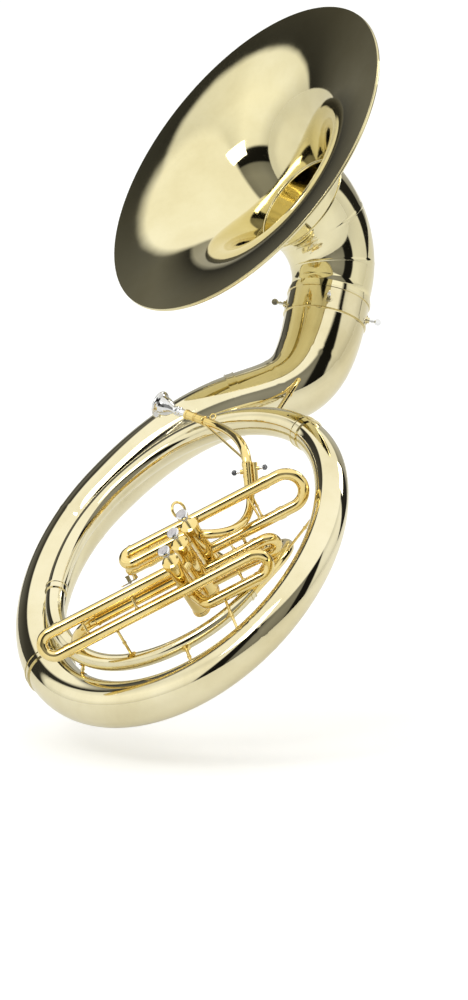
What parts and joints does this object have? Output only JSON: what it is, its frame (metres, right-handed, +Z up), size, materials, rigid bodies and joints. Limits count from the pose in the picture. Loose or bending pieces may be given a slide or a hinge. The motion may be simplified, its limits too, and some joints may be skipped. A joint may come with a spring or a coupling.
{
  "type": "sousaphone",
  "caption": "Wearable coiled bass brass instrument with a detachable forward-facing flared bell, piston valves, pull slides, a turning neck and a cup mouthpiece.",
  "frame": {"origin": "centre of the outer coil, where the player's body passes", "axes": "+Z up, -Y towards the listener the bell faces, +X the player's left as worn, seen from the front"},
  "size_m": [0.6598, 1.0463, 1.1821],
  "materials": {
    "lacquered_brass": "clear lacquer, light handling marks",
    "bell_brass": "clear lacquer, spun sheet",
    "mouthpiece_silver": "polished silver plate",
    "piston_nickel": "ground nickel plate",
    "button_silver": "polished silver plate",
    "screw_silver": "nickel plate",
    "felt": "pressed felt",
    "spring_steel": "drawn wire"
  },
  "bodies": {
    "horn": {"collar_socket": "lacquered_brass", "bell_branch": "lacquered_brass", "outer_branch": "lacquered_brass", "lower_branch": "lacquered_brass", "inner_branch": "lacquered_brass", "small_branch": "lacquered_brass", "branch_ferrules": "lacquered_brass", "coil_braces": "lacquered_brass", "main_tubes": "lacquered_brass", "main_tube_sleeves": "lacquered_brass", "leadpipe": "lacquered_brass", "neck_receiver": "lacquered_brass", "lyre_socket": "lacquered_brass", "valve_casings": "lacquered_brass", "valve_top_caps": "lacquered_brass", "valve_bottom_caps": "lacquered_brass", "valve_knuckles": "lacquered_brass", "valve_spring_1": "spring_steel", "valve_spring_2": "spring_steel", "valve_spring_3": "spring_steel", "first_slide_tubes": "lacquered_brass", "second_slide_tubes": "lacquered_brass", "third_slide_tubes": "lacquered_brass", "slide_braces": "lacquered_brass", "thumb_ring": "lacquered_brass"},
    "bell": {"bell_flare": "bell_brass", "bell_rim_wire": "bell_brass", "bell_elbow": "bell_brass", "bell_seam_ring": "bell_brass", "bell_tenon": "bell_brass"},
    "collar_screw_1": {"collar_screw_1": "screw_silver"},
    "collar_screw_2": {"collar_screw_2": "screw_silver"},
    "collar_screw_3": {"collar_screw_3": "screw_silver"},
    "collar_screw_4": {"collar_screw_4": "screw_silver"},
    "neck": {"neck": "lacquered_brass", "neck_brace": "lacquered_brass"},
    "bit": {"mouthpipe_bit": "lacquered_brass"},
    "mouthpiece": {"mouthpiece": "mouthpiece_silver"},
    "neck_screw": {"neck_screw": "screw_silver"},
    "lyre_screw": {"lyre_screw": "screw_silver"},
    "valve_1": {"piston_1": "piston_nickel", "finger_button_1": "button_silver", "valve_felt_1": "felt"},
    "valve_2": {"piston_2": "piston_nickel", "finger_button_2": "button_silver", "valve_felt_2": "felt"},
    "valve_3": {"piston_3": "piston_nickel", "finger_button_3": "button_silver", "valve_felt_3": "felt"},
    "first_slide": {"first_slide": "lacquered_brass"},
    "second_slide": {"second_slide": "lacquered_brass"},
    "third_slide": {"third_slide": "lacquered_brass"},
    "tuning_slide": {"tuning_slide": "lacquered_brass", "water_key_seat": "lacquered_brass", "water_key_pin": "screw_silver"},
    "water_key": {"water_key": "lacquered_brass"}
  },
  "joints": [
    {"name": "bell_turn", "type": "hinge", "parent": "horn", "child": "bell", "pos_m": [0.25245, 0.42967, 0.38136], "axis": [0.19, 0.5326, 0.8248], "continuous": true},
    {"name": "collar_screw_1_turn", "type": "hinge", "parent": "horn", "child": "collar_screw_1", "pos_m": [0.25405, 0.35575, 0.41418], "axis": [0.0484, -0.8441, 0.5339], "continuous": true},
    {"name": "collar_screw_2_turn", "type": "hinge", "parent": "horn", "child": "collar_screw_2", "pos_m": [0.32862, 0.41836, 0.35657], "axis": [0.9806, -0.0615, -0.1862], "continuous": true},
    {"name": "collar_screw_3_turn", "type": "hinge", "parent": "horn", "child": "collar_screw_3", "pos_m": [0.24629, 0.49081, 0.32875], "axis": [-0.0484, 0.8441, -0.5339], "continuous": true},
    {"name": "collar_screw_4_turn", "type": "hinge", "parent": "horn", "child": "collar_screw_4", "pos_m": [0.17172, 0.4282, 0.38636], "axis": [-0.9806, 0.0615, 0.1862], "continuous": true},
    {"name": "neck_turn", "type": "hinge", "parent": "horn", "child": "neck", "pos_m": [0.10721, -0.06731, 0.17728], "axis": [-0.0938, 0.4274, 0.8992], "range_deg": [-12, 25]},
    {"name": "bit_turn", "type": "hinge", "parent": "neck", "child": "bit", "pos_m": [0.02036, 0.10696, 0.23801], "axis": [0.8111, -0.5534, -0.1894], "continuous": true},
    {"name": "mouthpiece_pull", "type": "slide", "parent": "bit", "child": "mouthpiece", "axis": [-0.8111, 0.5534, 0.1894], "range_m": [0, 0.02]},
    {"name": "neck_screw_turn", "type": "hinge", "parent": "horn", "child": "neck_screw", "pos_m": [0.0934, -0.06432, 0.17664], "axis": [-0.9728, 0.1529, -0.1742], "continuous": true},
    {"name": "lyre_screw_turn", "type": "hinge", "parent": "horn", "child": "lyre_screw", "pos_m": [0.12586, -0.07045, 0.18516], "axis": [0.9728, -0.1529, 0.1742], "continuous": true},
    {"name": "valve_1_press", "type": "slide", "parent": "horn", "child": "valve_1", "axis": [0.387, 0.5596, -0.7329], "range_m": [0, 0.0185], "stiffness_N_per_m": 300, "springref_m": -0.005, "deforming": ["valve_spring_1"]},
    {"name": "valve_2_press", "type": "slide", "parent": "horn", "child": "valve_2", "axis": [0.387, 0.5596, -0.7329], "range_m": [0, 0.0185], "stiffness_N_per_m": 300, "springref_m": -0.005, "deforming": ["valve_spring_2"]},
    {"name": "valve_3_press", "type": "slide", "parent": "horn", "child": "valve_3", "axis": [0.387, 0.5596, -0.7329], "range_m": [0, 0.0185], "stiffness_N_per_m": 300, "springref_m": -0.005, "deforming": ["valve_spring_3"]},
    {"name": "first_slide_pull", "type": "slide", "parent": "horn", "child": "first_slide", "axis": [0.8843, 0.0001, 0.467], "range_m": [0, 0.009]},
    {"name": "second_slide_pull", "type": "slide", "parent": "horn", "child": "second_slide", "axis": [0.8843, 0.0001, 0.467], "range_m": [0, 0.045]},
    {"name": "third_slide_pull", "type": "slide", "parent": "horn", "child": "third_slide", "axis": [-0.8843, -0.0001, -0.467], "range_m": [0, 0.045]},
    {"name": "tuning_slide_pull", "type": "slide", "parent": "horn", "child": "tuning_slide", "axis": [-0.8843, -0.0001, -0.467], "range_m": [0, 0.035]},
    {"name": "water_key_lift", "type": "hinge", "parent": "tuning_slide", "child": "water_key", "pos_m": [-0.10286, -0.08128, -0.02001], "axis": [0.0888, 0.9817, -0.1683], "range_deg": [0, 16], "stiffness_Nm_per_rad": 0.02}
  ]
}
